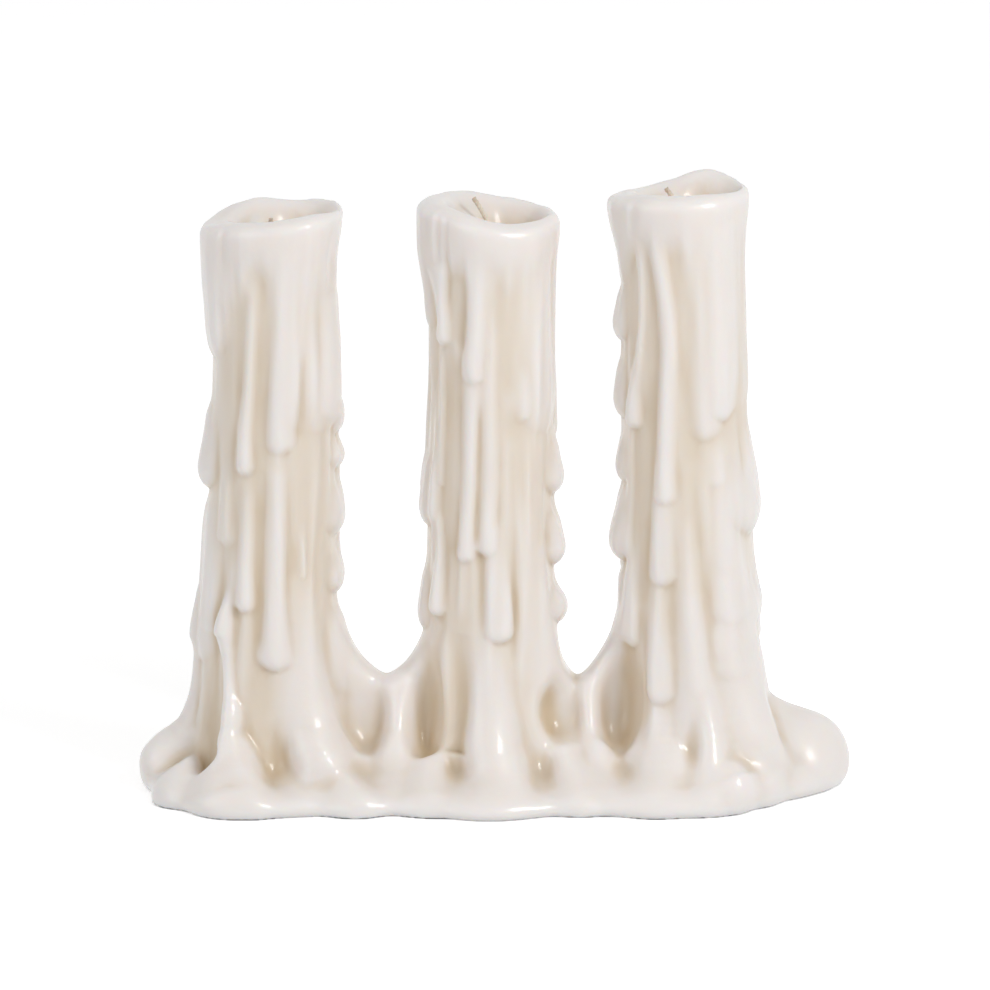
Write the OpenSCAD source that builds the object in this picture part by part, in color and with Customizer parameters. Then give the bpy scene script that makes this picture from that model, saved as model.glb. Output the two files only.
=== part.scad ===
// Three wax candles melted together at the foot, with a wick in each

/* [Candles] */
// Diameter of a column just under its collar
column_d = 37; // [28:1:44]
// How much the radius of a column grows on the way down
column_taper = 2; // [0:0.25:4]
// How much further the radius of a column swells at its foot
foot_swell = 8; // [0:0.5:12]
// Mean height of the left rim above the table
left_height = 177; // [130:0.5:220]
// Mean height of the middle rim above the table
middle_height = 178.5; // [130:0.5:220]
// Mean height of the right rim above the table
right_height = 185; // [130:0.5:220]
// Distance between the feet of the left and the middle candle
left_spacing = 66; // [58:0.5:80]
// Distance between the feet of the middle and the right candle
right_spacing = 61.5; // [56:0.5:80]
// How far the head of the left candle stands right of its foot
left_lean = 2.6; // [-6:0.2:6]
// How far the head of the middle candle stands right of its foot
middle_lean = 1.6; // [-6:0.2:6]
// How far the head of the right candle stands right of its foot
right_lean = -3.6; // [-6:0.2:6]
// Gentle unevenness of the columns
column_ripple = 0.5; // [0:0.1:1]

/* [Heads] */
// Height of the collar of soft wax under each rim
collar_h = 29; // [12:1:40]
// How far the collar stands out all round
collar_out = 1.4; // [0:0.1:3]
// How far the collar sags out further on the left side
collar_sag = 2.4; // [0:0.2:4]
// Width of the rounded outer edge of the lip
lip_w = 5; // [3:0.25:7]
// How far the cup lies right of the middle of its candle
cup_shift = 5; // [0:0.5:5]
// Depth of the cup under the mean rim
cup_depth = 12; // [8:0.5:20]
// Diameter of the floor of the cup
cup_floor_d = 13; // [8:0.5:16]

/* [Wicks] */
// Diameter of a waxed wick
wick_d = 1.6; // [1.2:0.1:3]
// Height of the wick above the floor of the cup
wick_rise = 14; // [8:0.5:24]
// How far the tip of the wick leans over
wick_bend = 5; // [0:0.5:7]
// Wax left between the wick and the table
wick_floor = 4; // [2:0.5:8]

/* [Drips] */
// How far a drip stands out from its column
drip_relief = 1.9; // [0.8:0.1:2.6]
// Number of plain drips down the back of each candle
back_drips = 5; // [3:1:8]

/* [Pool] */
// Thickness of the pool of wax round the feet
pool_h = 10; // [6:0.5:14]
// How far the pool reaches forward from the row of candles
pool_front = 41; // [34:0.5:50]
// How far the pool reaches back from the row of candles
pool_back = 38; // [34:0.5:50]
// How far the pool reaches left of the left candle
pool_left = 40; // [34:0.5:50]
// How far the pool reaches right of the right candle
pool_right = 47; // [38:0.5:56]

/* [Webs] */
// Height of the web between the left and the middle candle at its lowest point
left_web_h = 37; // [26:0.5:60]
// Height of the web between the middle and the right candle at its lowest point
right_web_h = 35; // [26:0.5:60]
// How much higher a web stands where it meets the columns
web_rise = 17; // [6:0.5:24]
// Thickness of a web along its upper edge
web_w = 14; // [8:0.5:18]

/* [Hidden] */

column_sides = 22;
drip_sides = 8;
back_sides = 6;
flow_sides = 8;
tongue_sides = 10;
wick_sides = 6;
puddle_sides = 16;
pocket_sides = 10;
web_sections = 10;
wick_rings = 5;

// A candle: where its foot stands, its lean, its rim height, and the shape of its rim.
// The rim is one slope and one wave, each with its height and the bearing of its top.
foot_at = 0;
lean_of = 1;
height_of = 2;
slope_of = 3;
wave_of = 4;
left_candle = [-left_spacing, left_lean, left_height, [2.3, 105], [0.8, -10]];
middle_candle = [0, middle_lean, middle_height, [2.4, -100], [0.8, -60]];
right_candle = [right_spacing, right_lean, right_height, [2.2, 90], [1.4, -34]];

// Drips down the front and sides, from the top down. Each row holds the bearing at its
// top and at its end, the height of its top and of its end as shares of the candle's
// height, its width at its top and at its end, and how much more than usual it stands out.
left_drips = [
    [-62, -50, 0.95, 0.72, 19, 11, 1.1],
    [-18, -28, 0.82, 0.590, 3.4, 5.8, 1.2],
    [9, 9, 0.92, 0.635, 7, 8.6, 1],
    [60, 60, 0.95, 0.635, 19.4, 17.4, 1.05],
    [-88, -88, 0.72, 0.530, 9, 12, 1.8],
    [84, 84, 0.66, 0.570, 9, 10, 1.3],
    [40, 44, 0.64, 0.410, 16, 15, 0.7],
    [3, 3, 0.60, 0.235, 7.5, 9.2, 1.3],
    [-25, -25, 0.56, 0.335, 3.6, 6.4, 1.3],
    [80, 80, 0.56, 0.450, 11, 12, 1.6],
    [54, 54, 0.45, 0.365, 14, 13, 1.3],
    [84, 84, 0.43, 0.360, 10, 11, 1.5]
];
middle_drips = [
    [-64, -48, 0.98, 0.805, 6, 5.8, 1.1],
    [-12, -15, 0.95, 0.740, 5.4, 5.4, 1.2],
    [50, 50, 0.95, 0.690, 15, 14, 1],
    [7, 5, 0.85, 0.560, 3.4, 5, 1],
    [-55, -55, 0.79, 0.510, 2.6, 2.8, 0.8],
    [-18, -23, 0.76, 0.438, 4.2, 4.6, 1.1],
    [-76, -70, 0.70, 0.490, 7, 8, 1.2],
    [54, 50, 0.70, 0.330, 14, 12, 1],
    [-2, -5, 0.64, 0.450, 6, 5.2, 1.3],
    [86, 86, 0.63, 0.515, 8, 9, 1.7],
    [3, 8, 0.55, 0.300, 7, 8.8, 1.3],
    [86, 86, 0.50, 0.400, 8, 9, 1.7],
    [-55, -55, 0.46, 0.312, 3, 5.8, 1.2],
    [86, 86, 0.39, 0.300, 8, 9, 1.6],
    [-88, -88, 0.40, 0.300, 7, 9, 1.2]
];
right_drips = [
    [-46, -57, 0.93, 0.635, 3.4, 6.2, 1.2],
    [-28, -11, 0.95, 0.720, 4.6, 5.2, 1.2],
    [13, 22, 0.95, 0.630, 7, 8.6, 1.1],
    [66, 66, 0.94, 0.665, 16, 14, 0.9],
    [-88, -88, 0.90, 0.765, 7, 9, 0.9],
    [-11, -20, 0.76, 0.510, 5, 5.6, 1.2],
    [-86, -86, 0.74, 0.640, 7, 8, 0.9],
    [60, 66, 0.66, 0.450, 18, 17, 1.5],
    [-88, -88, 0.61, 0.530, 6, 8, 0.9],
    [-24, -26, 0.52, 0.370, 5, 5.8, 1.1],
    [-88, -88, 0.51, 0.380, 9, 11, 1.7],
    [28, 32, 0.50, 0.300, 8, 9, 0.9],
    [-66, -66, 0.40, 0.252, 4, 7, 1.2],
    [84, 84, 0.40, 0.285, 11, 12, 1.5],
    [-25, -25, 0.34, 0.182, 5, 7.6, 1.3]
];

// Thick runs that stand off a column and spread into the pool. Each point holds the
// bearing, the distance from the candle's axis, the height and the radius of the run.
left_flows = [
    [[-90, 18, 66, 2], [-89, 22.5, 48, 3.6], [-88, 22, 38, 3.4], [-87, 23, 23, 5], [-86, 26, 8, 9]],
    [[-50, 18, 64, 2], [-50, 21, 54, 3.8], [-46, 22, 42, 2.8], [-42, 23.5, 29, 3.8],
        [-34, 26, 17, 6], [-26, 29, 5, 10]],
    [[30, 16, 50, 4], [36, 20, 32, 6], [42, 26, 15, 8], [46, 32, 4, 8]],
    [[150, 16, 62, 2], [152, 20, 40, 4], [154, 24, 20, 6], [156, 29, 4, 8]],
    [[-140, 16, 72, 2], [-142, 20, 48, 3.6], [-144, 23, 24, 5.5], [-146, 28, 4, 8]]
];
middle_flows = [
    [[-8, 16, 60, 3], [-3, 19, 42, 6.5], [3, 20, 26, 7.5], [4, 24, 12, 9], [5, 30, 3, 10]],
    [[-48, 18.5, 48, 1.5], [-48, 20.5, 30, 3.2], [-48, 19, 17, 1.5]],
    [[58, 17, 60, 4], [60, 18, 36, 6], [66, 22, 20, 7], [70, 26, 6, 9]],
    [[172, 16, 68, 2], [170, 20, 44, 3.8], [168, 24, 22, 6], [166, 29, 4, 8]],
    [[-150, 16, 52, 2], [-150, 20, 34, 3.8], [-148, 24, 18, 6], [-146, 28, 4, 7.5]]
];
right_flows = [
    [[-2, 17, 84, 2], [2, 19.5, 64, 2.6], [5, 21.5, 44, 3], [9, 24, 27, 4], [14, 30, 10, 7]],
    [[44, 16, 78, 4], [48, 19, 50, 6], [50, 24, 26, 8], [46, 31, 6, 9]],
    [[90, 15, 66, 4.5], [90, 16.5, 44, 5.5], [91, 18, 33, 7], [93, 21, 25, 9], [95, 26, 8, 12]],
    [[160, 16, 76, 2], [158, 20, 50, 3.8], [156, 24, 26, 6], [152, 29, 4, 8]],
    [[-160, 16, 58, 2], [-162, 20, 38, 4], [-164, 24, 18, 6], [-166, 29, 4, 8]]
];

// Places measured from an edge of the pool: how far short of that edge a lobe of this
// radius stops
function from_left(short, r) = short + r - pool_left;
function from_right(short, r) = pool_right - short - r;
function from_front(short, r) = short + r - pool_front;
function from_back(short, r) = pool_back - short - r;

// Lobes of the pool: the candle each runs out from, its radius, how far right of and
// behind that candle's foot its middle lies, and its thickness as a share of the pool's
pool_lobes = [
    [left_candle, 30, from_left(6, 30), from_front(0, 30), 1],
    [left_candle, 30, from_left(0, 30), 3, 1.1],
    [left_candle, 24, 9, from_back(0, 24), 1],
    [middle_candle, 22, 1, from_front(-1.5, 22), 1],
    [middle_candle, 20, 8, from_back(0, 20), 0.9],
    [right_candle, 30, -5, from_front(2, 30), 1.1],
    [right_candle, 24, from_right(11, 24), from_front(12, 24), 1.2],
    [right_candle, 22, from_right(0, 22), 8, 1.75],
    [right_candle, 23, 2, from_back(0, 23), 1]
];

// The two ends of the lump at the far left: how far right of the pool's left edge and
// behind the row each lies, its radius, and its height as a share of the pool's
left_lump = [[10, -13, 9, 1.3], [26, -8, 9, 1]];

// How far the pool reaches past a column all round before it spreads into lobes
foot_skirt = 6;
// How far the bed between two candles stays inside the lobes
bed_inset = 3;

// Tongues of wax that swell up from the pool, from the top down: the candle each stands
// by, then how far right of and behind that candle's foot it lies, its height and radius
tongues = [
    [left_candle, [[-19, 4, 20, 5], [-21, 5, 15, 11], [-23, 5, 3, 15]]],
    [left_candle, [[-24, -16, 14, 4], [-26, -18, 10, 9], [-27, -18, 2, 11.5]]],
    [left_candle, [[18, -26, 15, 4], [21, -29, 9, 7.5], [23, -32.5, 2, 8]]],
    [left_candle, [[34, -16, 15, 3], [34, -18, 10, 6], [34, -20, 2, 8]]],
    [middle_candle, [[-20, -20, 15.5, 4], [-19, -25, 11, 8], [-17, -32, 2, 9.5]]],
    [middle_candle, [[28, -20, 16, 4], [28, -25, 11, 8], [28, -31, 2, 9]]],
    [right_candle, [[-16, -22, 15.5, 4], [-14, -27, 11, 8], [-11, -32, 2, 9]]],
    [right_candle, [[7, -25, 14, 4], [11, -28, 9, 8], [15, -31, 2, 9]]],
    [right_candle, [[21, 5, 25, 5], [27, 6, 20, 12], [29, 6, 3, 16]]],
    [left_candle, [[15, 21, 14.5, 4], [16, 25, 9, 8], [17, 28, 2, 8.5]]],
    [middle_candle, [[13, 21, 14.5, 4], [14, 25, 9, 8], [15, 28, 2, 8.5]]],
    [right_candle, [[-22, 18, 14, 4], [-22, 22, 9, 8], [-22, 25, 2, 9]]]
];

// Hollows in the wax between the runs at the foot: the candle each lies by, how far right
// of and behind that candle's foot and how high its middle is, and its half sizes
pockets = [
    [left_candle, [28.5, -11, 22], [4.5, 8, 11]],
    [middle_candle, [-19, -14, 27], [4, 9, 15]],
    [middle_candle, [23.5, -13, 24], [5.5, 9, 9]],
    [right_candle, [-21.5, -13, 30], [5, 9, 16]],
    [left_candle, [-19.5, -15, 30], [3, 6, 17]]
];

// The section of a web: half its width and its height at each corner, as shares
web_section = [
    [-1.7, 0], [1.7, 0], [1.2, 0.4], [1, 0.85], [0.6, 0.96],
    [0, 1], [-0.6, 0.96], [-1, 0.85], [-1.2, 0.4]
];
// How far a web reaches into a column, and how its top curves up towards the columns
web_bite = 5;
web_curve = 1.6;

// How far right of the middle of its web each run down a web lies
left_strand_shift = 4.5;
right_strand_shift = 1;

// A run down a web, from the web's top to its foot: the share of the web's height, how
// far it stands in front of the web, and its radius
strand_stops = [[0.95, -2, 3], [0.8, 2, 3.4], [0.45, 4, 3.6], [0.08, 8, 7]];

// How the width and the stand-out of a drip grow from its root to its rounded end.
// Each row holds the share of its length, the share of its end width it has taken on,
// its fullness, its stand-out, and how many tip heights it lies above that place.
drip_stages = [
    [0, 0, 0.4, -0.8, 0],
    [0.15, 0, 0.95, 0.6, 0],
    [0.7, 0.4, 1, 0.85, 0],
    [1, 1, 1, 1, 1],
    [1, 1, 0.55, 0.2, 0]
];

// The wall of the cup from its mouth to its floor: how much wider than the floor and how
// much higher it is there, as shares
cup_rows = [[1, 1], [0.6, 0.4], [0, 0]];

// Height of the rounded end of a drip as a share of its width
tip_share = 0.6;
// Depth of a drip from back to front as a share of its half width, and at least
drip_depth = 0.8;
drip_depth_min = 1.2;

// Height of each ring of a column as a share of the rim's height, up to the collar
column_shares = [0, 0.06, 0.13, 0.22, 0.36, 0.62];
// How near the foot its swelling keeps: the more, the nearer
swell_power = 8;
// How far each ring of the collar lies below the rim, as a share of the collar's height
collar_shares = [1, 0.7, 0.4, 0.18];
// How far the shoulders of the lip lie below its crest
lip_round = 0.8;

// The back: the bearings it spans, where its drips start, and where the short and the
// long ones end, as shares of the candle's height
back_from = 97;
back_to = 264;
back_top = 0.94;
back_short_end = 0.66;
back_long_end = 0.36;
back_drip_w = 6;

// The bearing towards which each wick leans
left_wick_angle = -110;
middle_wick_angle = -105;
right_wick_angle = -100;

function bearing(a) = [sin(a), -cos(a)];
function axis_at(candle, z) = candle[foot_at] + candle[lean_of] * z / candle[height_of];
function wave(shape, times, a) = shape[0] * cos(times * (a - shape[1]));
function rim_at(candle, a) =
    candle[height_of] + wave(candle[slope_of], 1, a) + wave(candle[wave_of], 2, a);

// Radius of a column without its collar
function body_radius(candle, a, z) =
    let (rest = 1 - z / candle[height_of])
    column_d / 2 + column_taper * rest + foot_swell * pow(max(rest, 0), swell_power)
        + column_ripple * sin(3 * a + 2 * z + candle[foot_at]);

// How far the collar stands out at a distance below the rim
function collar_radius(a, below) =
    let (near = max(0, 1 - below / collar_h))
    (collar_out + collar_sag * (1 - sin(a)) / 2) * near * near * (3 - 2 * near);

function outer_radius(candle, a, z) =
    body_radius(candle, a, z) + collar_radius(a, rim_at(candle, a) - z);

// A point at a bearing, a distance from the axis and a height
function column_point(candle, a, reach, z) =
    let (way = bearing(a) * reach)
    [axis_at(candle, z) + way[0], way[1], z];

function outer_point(candle, a, below, inset) =
    let (z = rim_at(candle, a) - below)
    column_point(candle, a, outer_radius(candle, a, z) - inset, z);

// A point on the wall of the cup, round the cup's own middle
function cup_point(candle, a, r, z) = column_point(candle, a, r, z) + [cup_shift, 0, 0];

function turn(sides) = [for (i = [0 : sides - 1]) 360 * i / sides];

// A solid through a stack of rings with equal numbers of points, listed from the foot up
module loft(rings) {
    n = len(rings[0]);
    top = len(rings) - 1;
    sides = [
        for (k = [0 : top - 1], i = [0 : n - 1])
            let (a = k * n + i, b = k * n + (i + 1) % n)
            each [[a, a + n, b + n], [a, b + n, b]]
    ];
    polyhedron(
        points = [for (ring = rings) each ring],
        faces = concat([[for (i = [0 : n - 1]) i]], sides, [[for (i = [n - 1 : -1 : 0]) top * n + i]])
    );
}

// One column with its collar, its rounded lip and its cup
module column(candle) {
    angles = turn(column_sides);
    lip_rings = [[lip_w * 0.35, 0], [lip_round, lip_w * 0.2], [0, lip_w * 0.5]];
    mouth_r = column_d / 2 + collar_out - lip_w * 0.6 - cup_shift;
    floor_r = min(cup_floor_d / 2, mouth_r * 0.8);
    floor_z = candle[height_of] - cup_depth;
    loft(concat(
        [for (share = column_shares) [
            for (a = angles)
                let (z = share * (rim_at(candle, a) - collar_h * 0.5))
                column_point(candle, a, outer_radius(candle, a, z), z)
        ]],
        [for (share = collar_shares) [for (a = angles) outer_point(candle, a, collar_h * share, 0)]],
        [for (ring = lip_rings) [for (a = angles) outer_point(candle, a, ring[0], ring[1])]],
        [for (row = cup_rows) [
            for (a = angles)
                let (z = rim_at(candle, a) - lip_round)
                cup_point(candle, a, floor_r + (mouth_r - floor_r) * row[0],
                    floor_z + (z - floor_z) * row[1])
        ]]
    ));
}

// One drip that clings to its column, as a row of the lists above describes it
module drip(candle, row, sides = drip_sides) {
    h = candle[height_of];
    tip_h = min(row[5] * tip_share, h * (row[2] - row[3]) / 4, drip_relief * 2);
    loft([
        for (k = [len(drip_stages) - 1 : -1 : 0])
            let (
                stage = drip_stages[k],
                a = row[0] + (row[1] - row[0]) * stage[0],
                z = h * (row[2] + (row[3] - row[2]) * stage[0]) + tip_h * stage[4],
                w = (row[4] + (row[5] - row[4]) * stage[1]) * stage[2] / 2,
                depth = max(w * drip_depth, drip_depth_min),
                reach = outer_radius(candle, a, z) + drip_relief * row[6] * stage[3] - depth,
                middle = column_point(candle, a, reach, z),
                out = bearing(a),
                side = bearing(a + 90)
            )
            [for (t = turn(sides))
                middle + concat(out * depth * cos(t) + side * w * sin(t), 0)]
    ]);
}

// One thick run from the side of a column down into the pool
module flow(candle, stops) {
    loft([
        for (k = [len(stops) - 1 : -1 : 0])
            let (
                stop = stops[k],
                middle = column_point(candle, stop[0], stop[1], max(0, stop[2]))
            )
            [for (t = turn(flow_sides)) middle + concat(bearing(t) * stop[3], 0)]
    ]);
}

// Plain drips round the back, short and long in turn and each a little different
module back_of(candle) {
    step = (back_to - back_from) / back_drips;
    for (k = [0 : back_drips - 1]) {
        a = back_from + step * (k + 0.5);
        vary = sin(137 * k + candle[foot_at]);
        w = back_drip_w + 2 * vary;
        drip(candle, k % 2 == 0
            ? [a, a, back_top, back_short_end + 0.08 * vary, w, w + 1.5, 1]
            : [a, a + 4 * vary, back_top, back_long_end + 0.1 * vary, w - 1, w + 2, 1.2], back_sides);
    }
}

module candle_wax(candle, drips, flows) {
    column(candle);
    for (row = drips) drip(candle, row);
    for (stops = flows) flow(candle, stops);
    back_of(candle);
}

// A round puddle with a full, rounded edge
module puddle(x, y, r, h) {
    round = min(r, h);
    edge = [[0, 0], [r - 0.25 * round, 0], [r, 0.3 * h], [r - 0.1 * round, 0.62 * h],
        [r - 0.38 * round, 0.9 * h], [r - 0.8 * round, h], [0, h]];
    translate([x, y, 0]) rotate_extrude($fn = puddle_sides) polygon(edge);
}

// One tongue of wax on the pool
module tongue(row) {
    stops = row[1];
    loft([
        for (k = [len(stops) - 1 : -1 : 0])
            let (stop = stops[k])
            [for (t = turn(tongue_sides))
                [row[0][foot_at] + stop[0], stop[1], stop[2]] + concat(bearing(t) * stop[3], 0)]
    ]);
}

// A lobe of the pool that runs out from under a candle, as a row of pool_lobes describes it
module lobe(row) {
    h = pool_h * row[4];
    x = row[0][foot_at];
    hull() {
        puddle(x, 0, column_d / 2 + foot_skirt, h);
        puddle(x + row[2], row[3], row[1], h);
    }
}

// The bed of wax under two candles and all that lies between them
module bed(from, to) {
    r = (pool_front + pool_back) / 2 - bed_inset;
    y = (pool_back - pool_front) / 2;
    hull() {
        puddle(from[foot_at], y, r, pool_h);
        puddle(to[foot_at] - bed_inset, y, r, pool_h);
    }
}

module pool() {
    bed(left_candle, middle_candle);
    bed(middle_candle, right_candle);
    for (row = pool_lobes) lobe(row);
    hull() for (end = left_lump)
        puddle(left_candle[foot_at] - pool_left + end[0], end[1], end[2], pool_h * end[3]);
    for (row = tongues) tongue(row);
}

// The sheet of wax between two candles, thick at the pool and curved along its top
module web(from, to, low) {
    x0 = from[foot_at];
    x1 = to[foot_at];
    half_gap = (x1 - x0 - column_d) / 2;
    half_span = half_gap + web_bite;
    rotate([90, 0, 90]) loft([
        for (k = [0 : web_sections])
            let (
                t = 2 * k / web_sections - 1,
                x = (x0 + x1) / 2 + t * half_span,
                z = low + web_rise * pow(abs(t) * half_span / half_gap, web_curve)
            )
            [for (corner = web_section) [web_w / 2 * corner[0], z * corner[1], x]]
    ]);
}

// A run of wax down the front of the web between two candles
module strand(from, to, shift, top) {
    x = (from[foot_at] + to[foot_at]) / 2 + shift;
    loft([
        for (k = [len(strand_stops) - 1 : -1 : 0])
            let (stop = strand_stops[k], y = -web_w / 2 - stop[1])
            [for (t = turn(flow_sides)) [x, y, top * stop[0]] + concat(bearing(t) * stop[2], 0)]
    ]);
}

// A hollow with a rounded bottom
module pocket(row) {
    translate([row[0][foot_at], 0, 0] + row[1]) scale(row[2]) sphere(1, $fn = pocket_sides);
}

function wick_rings_of(candle, bend_to) =
    let (
        floor_z = candle[height_of] - cup_depth,
        bend = bearing(bend_to) * wick_bend,
        stub = [for (k = [0 : wick_rings]) let (t = k / wick_rings)
            [axis_at(candle, floor_z) + bend[0] * t * t, bend[1] * t * t, floor_z + wick_rise * t]],
        path = concat([[axis_at(candle, wick_floor), 0, wick_floor]], stub)
    )
    [for (p = path) [for (t = turn(wick_sides)) p + concat(bearing(t) * wick_d / 2, 0)]];

module wick(candle, bend_to) {
    loft(wick_rings_of(candle, bend_to));
}

module wick_left() {
    color("ivory") wick(left_candle, left_wick_angle);
}

module wick_middle() {
    color("ivory") wick(middle_candle, middle_wick_angle);
}

module wick_right() {
    color("ivory") wick(right_candle, right_wick_angle);
}

module wax_body() {
    color("linen") difference() {
        union() {
            candle_wax(left_candle, left_drips, left_flows);
            candle_wax(middle_candle, middle_drips, middle_flows);
            candle_wax(right_candle, right_drips, right_flows);
            web(left_candle, middle_candle, left_web_h);
            web(middle_candle, right_candle, right_web_h);
            strand(left_candle, middle_candle, left_strand_shift, left_web_h);
            strand(middle_candle, right_candle, right_strand_shift, right_web_h);
            pool();
        }
        for (row = pockets) pocket(row);
        wick(left_candle, left_wick_angle);
        wick(middle_candle, middle_wick_angle);
        wick(right_candle, right_wick_angle);
    }
}

wax_body();
wick_left();
wick_middle();
wick_right();
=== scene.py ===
from math import cos, pi, radians, sin

import bpy
import numpy as np
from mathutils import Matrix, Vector


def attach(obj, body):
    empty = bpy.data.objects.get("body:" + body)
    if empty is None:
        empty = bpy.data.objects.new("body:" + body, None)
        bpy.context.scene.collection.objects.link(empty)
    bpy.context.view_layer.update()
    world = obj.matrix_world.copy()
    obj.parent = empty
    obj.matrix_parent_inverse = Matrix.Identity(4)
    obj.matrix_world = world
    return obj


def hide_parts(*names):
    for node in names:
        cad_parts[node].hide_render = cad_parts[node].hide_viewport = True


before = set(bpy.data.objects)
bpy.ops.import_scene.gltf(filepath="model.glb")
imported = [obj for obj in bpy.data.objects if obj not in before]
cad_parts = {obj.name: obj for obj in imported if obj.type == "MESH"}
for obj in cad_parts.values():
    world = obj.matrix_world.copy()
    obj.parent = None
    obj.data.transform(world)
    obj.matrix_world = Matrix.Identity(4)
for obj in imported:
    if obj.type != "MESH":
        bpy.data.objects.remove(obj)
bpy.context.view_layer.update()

# ---------------------------------------------------------------------------
# The three candles
# Soft ivory paraffin wax, poured as plain pillars and burnt for a long time. Each head has
# slumped outwards, furthest to its left, and its cup lies off centre beside a broad shelf.
# ---------------------------------------------------------------------------
MM = 0.001
# The wax is worked out on a grid of this pitch, as a distance from its surface: below 0 inside
CELL = 0.8
FAR = 60.0
GRID_LOW = (-112.0, -48.0, -4.0)
GRID_HIGH = (116.0, 44.0, 194.0)

COLUMN_R = 17.5
COLUMN_TAPER = 2.0
FOOT_SWELL = 8.0
FOOT_SWELL_POWER = 8
SIDE_STEEPNESS = 0.85
COLLAR_OUT = 2.3
COLLAR_FULL = 5.0
COLLAR_END = 19.0
COLLAR_MELT = 1.2
LIP_ROUND = 4.2
LIP_RISE = 1.2
RIM_WAVES = 5.5
DISH = 3.8
DISH_R = 15.5
DISH_EDGE = 6.5
CUP_DEPTH = 12.0
CUP_FLOOR_R = 6.0
CUP_MOUTH_R = 12.0
CUP_FLARE = 0.7
CUP_FLOOR_ROUND = 5.0
CUP_ROUND = 3.0
CANDLE_REACH = 40
CANDLE_MELT = 1.0

# The rim is given as heights at bearings, where 0 faces forward and 90 faces right.
candles = {
    "left": {
        "foot": -66.0,
        "lean": 2.6,
        "height": 177.0,
        "cup": (5.4, 1.2),
        "rim": [
            (-160, 178.4), (-140, 176.6), (-115, 174.0), (-90, 173.0), (-70, 174.2),
            (-45, 175.6), (0, 177.4), (45, 178.6), (90, 180.2), (132, 179.8), (163, 175.8),
        ],
    },
    "middle": {
        "foot": 0.0,
        "lean": 1.6,
        "height": 178.5,
        "cup": (4.5, 1.0),
        "rim": [
            (-150, 180.2), (-90, 180.4), (-60, 180.4), (-32, 179.4), (0, 176.2),
            (30, 175.2), (60, 176.2), (90, 177.4), (142, 176.8), (180, 178.0),
        ],
    },
    "right": {
        "foot": 61.5,
        "lean": -3.6,
        "height": 185.0,
        "cup": (5.8, 1.0),
        "rim": [
            (-140, 181.0), (-90, 181.5), (-60, 183.5), (-35, 184.5), (0, 185.0),
            (60, 185.4), (90, 185.6), (120, 187.4), (150, 188.4), (180, 183.4),
        ],
    },
}

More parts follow.
